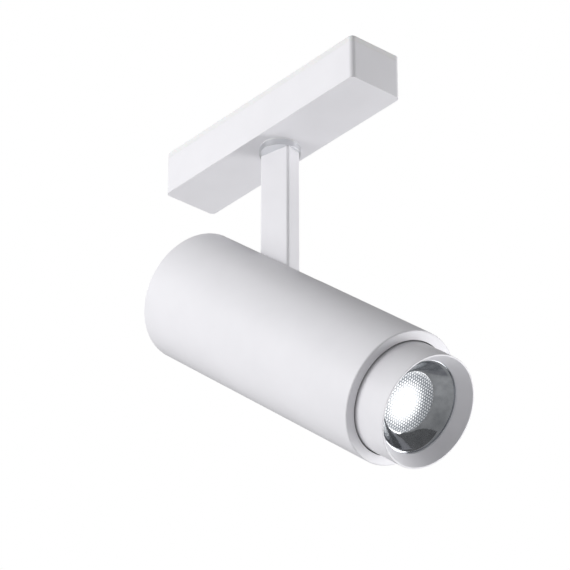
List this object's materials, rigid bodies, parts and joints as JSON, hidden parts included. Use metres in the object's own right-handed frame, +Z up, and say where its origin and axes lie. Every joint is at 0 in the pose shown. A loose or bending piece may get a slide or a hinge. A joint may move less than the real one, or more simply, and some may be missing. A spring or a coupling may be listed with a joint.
{
  "type": "track spotlight",
  "caption": "Cylindrical white spotlight on a flat arm, with a magnetic track adaptor, a pan swivel, a tilt joint and a sliding zoom nose.",
  "frame": {"origin": "centre of the adaptor's top face, on the swivel axis, where the adaptor seats in the track", "axes": "+Z up out of the seat face, +X along the track and the adaptor, +Y across the track"},
  "size_m": [0.1452, 0.0745, 0.1857],
  "materials": {
    "white_paint": "fine satin powder coat, white",
    "white_plastic": "satin moulded white",
    "black_plastic": "fine matt",
    "steel": "zinc plated",
    "aluminium": "turned",
    "magnet": "nickel plated",
    "brass": "gold flashed",
    "copper": "enamelled winding wire",
    "ferrite": "sintered, dull",
    "circuit_board": "green solder mask",
    "capacitor": "shrink sleeve",
    "wire": "pale sheath",
    "wire_red": "thin coloured insulation",
    "felt": "dense felt",
    "friction": "fibre",
    "lens": "clear moulded optic",
    "phosphor": "yellow phosphor",
    "pad": "soft grey pad"
  },
  "bodies": {
    "adaptor": {"adaptor_housing": "white_paint", "adaptor_cover": "white_plastic", "cover_screws": "steel", "holding_magnets": "magnet", "magnet_yokes": "steel", "yoke_screws": "steel", "contact_carrier": "black_plastic", "contact_leads": "wire_red", "driver_board": "circuit_board", "board_screws": "steel", "driver_inductor": "ferrite", "inductor_winding": "copper", "driver_capacitors": "capacitor", "driver_chips": "black_plastic", "output_terminal": "white_plastic", "output_lead": "wire", "swivel_bush": "white_plastic", "pan_stop_pin": "steel", "contact_spring_left": "steel", "contact_spring_right": "steel"},
    "contact_left": {"contact_pin_left": "brass"},
    "contact_right": {"contact_pin_right": "brass"},
    "arm": {"swivel_stem": "aluminium", "stop_washer": "steel", "swivel_spring_washer": "steel", "swivel_nut": "steel", "arm_tube": "white_paint", "stem_set_screw": "steel", "arm_knuckle": "aluminium", "knuckle_dowel": "steel", "arm_lead": "wire"},
    "head": {"body_tube": "white_paint", "rear_cap": "white_paint", "cap_screws": "steel", "tilt_bracket": "steel", "bracket_screws": "steel", "tilt_pin": "steel", "friction_washers": "friction", "tilt_spring_washer": "steel", "tilt_nut": "steel", "guide_felt": "felt", "heat_sink": "aluminium", "heat_sink_screws": "steel", "thermal_pad": "pad", "led_board": "white_plastic", "led_chip": "phosphor", "led_holder": "white_plastic", "holder_screws": "steel", "tilt_lead": "wire", "led_lead": "wire"},
    "nose": {"nose_sleeve": "white_paint", "zoom_lens": "lens", "lens_retainer": "black_plastic", "slide_ring": "black_plastic"}
  },
  "joints": [
    {"name": "pan", "type": "hinge", "parent": "adaptor", "child": "arm", "pos_m": [0, 0, -0.02], "axis": [0, 0, 1], "range_deg": [-181.4, 158.6]},
    {"name": "tilt", "type": "hinge", "parent": "arm", "child": "head", "pos_m": [0, 0, -0.11], "axis": [-0.1977, 0.9803, 0], "range_deg": [-38.1, 51.9], "deforming": ["tilt_lead"]},
    {"name": "zoom", "type": "slide", "parent": "head", "child": "nose", "axis": [0.7714, 0.1555, -0.617], "range_m": [-0.01, 0.002]},
    {"name": "contact_left_press", "type": "slide", "parent": "adaptor", "child": "contact_left", "axis": [0, 0, 1], "range_m": [-0.0012, 0], "stiffness_N_per_m": 200, "springref_m": 0.001, "deforming": ["contact_spring_left"]},
    {"name": "contact_right_press", "type": "slide", "parent": "adaptor", "child": "contact_right", "axis": [0, 0, 1], "range_m": [-0.0012, 0], "stiffness_N_per_m": 200, "springref_m": 0.001, "deforming": ["contact_spring_right"]}
  ]
}
